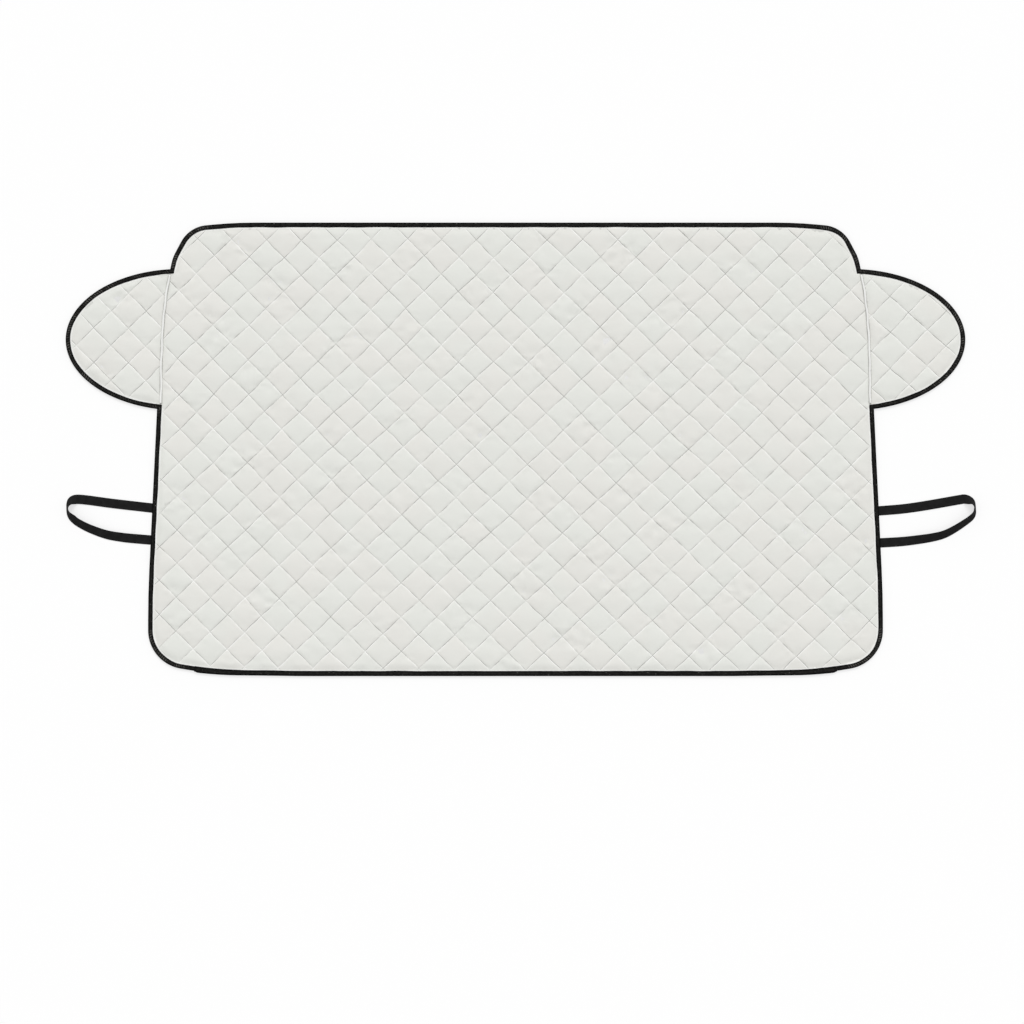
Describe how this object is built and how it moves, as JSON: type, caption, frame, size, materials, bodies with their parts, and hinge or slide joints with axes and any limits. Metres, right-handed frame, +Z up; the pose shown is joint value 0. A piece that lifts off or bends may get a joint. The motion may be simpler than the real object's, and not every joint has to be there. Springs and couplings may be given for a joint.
{
  "type": "windshield frost cover",
  "caption": "Quilted cover that lies over a car windscreen against frost and snow, with side ears for the doors and a webbing loop each side for the mirrors.",
  "frame": {"origin": "on the floor under the middle of the main panel, at mid height between its top and bottom edges", "axes": "+X along the cover's width to the right, +Y towards the edge that lies along the roof, +Z up through the quilted face"},
  "size_m": [1.8177, 0.9065, 0.019],
  "materials": {
    "shell_fabric": "off-white woven polyester, quilted",
    "wadding": "white polyester wadding",
    "lining_fabric": "plain light grey backing cloth",
    "binding_tape": "black twill tape, matt",
    "seam_piping": "off-white covered cord",
    "elastic_webbing": "black ribbed webbing, matt"
  },
  "bodies": {
    "root": {"main_shell": "shell_fabric", "main_padding": "wadding", "main_lining": "lining_fabric", "left_ear_shell": "shell_fabric", "left_ear_padding": "wadding", "left_ear_lining": "lining_fabric", "right_ear_shell": "shell_fabric", "right_ear_padding": "wadding", "right_ear_lining": "lining_fabric", "perimeter_binding": "binding_tape", "bottom_binding": "binding_tape", "left_seam_piping": "seam_piping", "right_seam_piping": "seam_piping", "left_loop": "elastic_webbing", "right_loop": "elastic_webbing"}
  },
  "joints": []
}
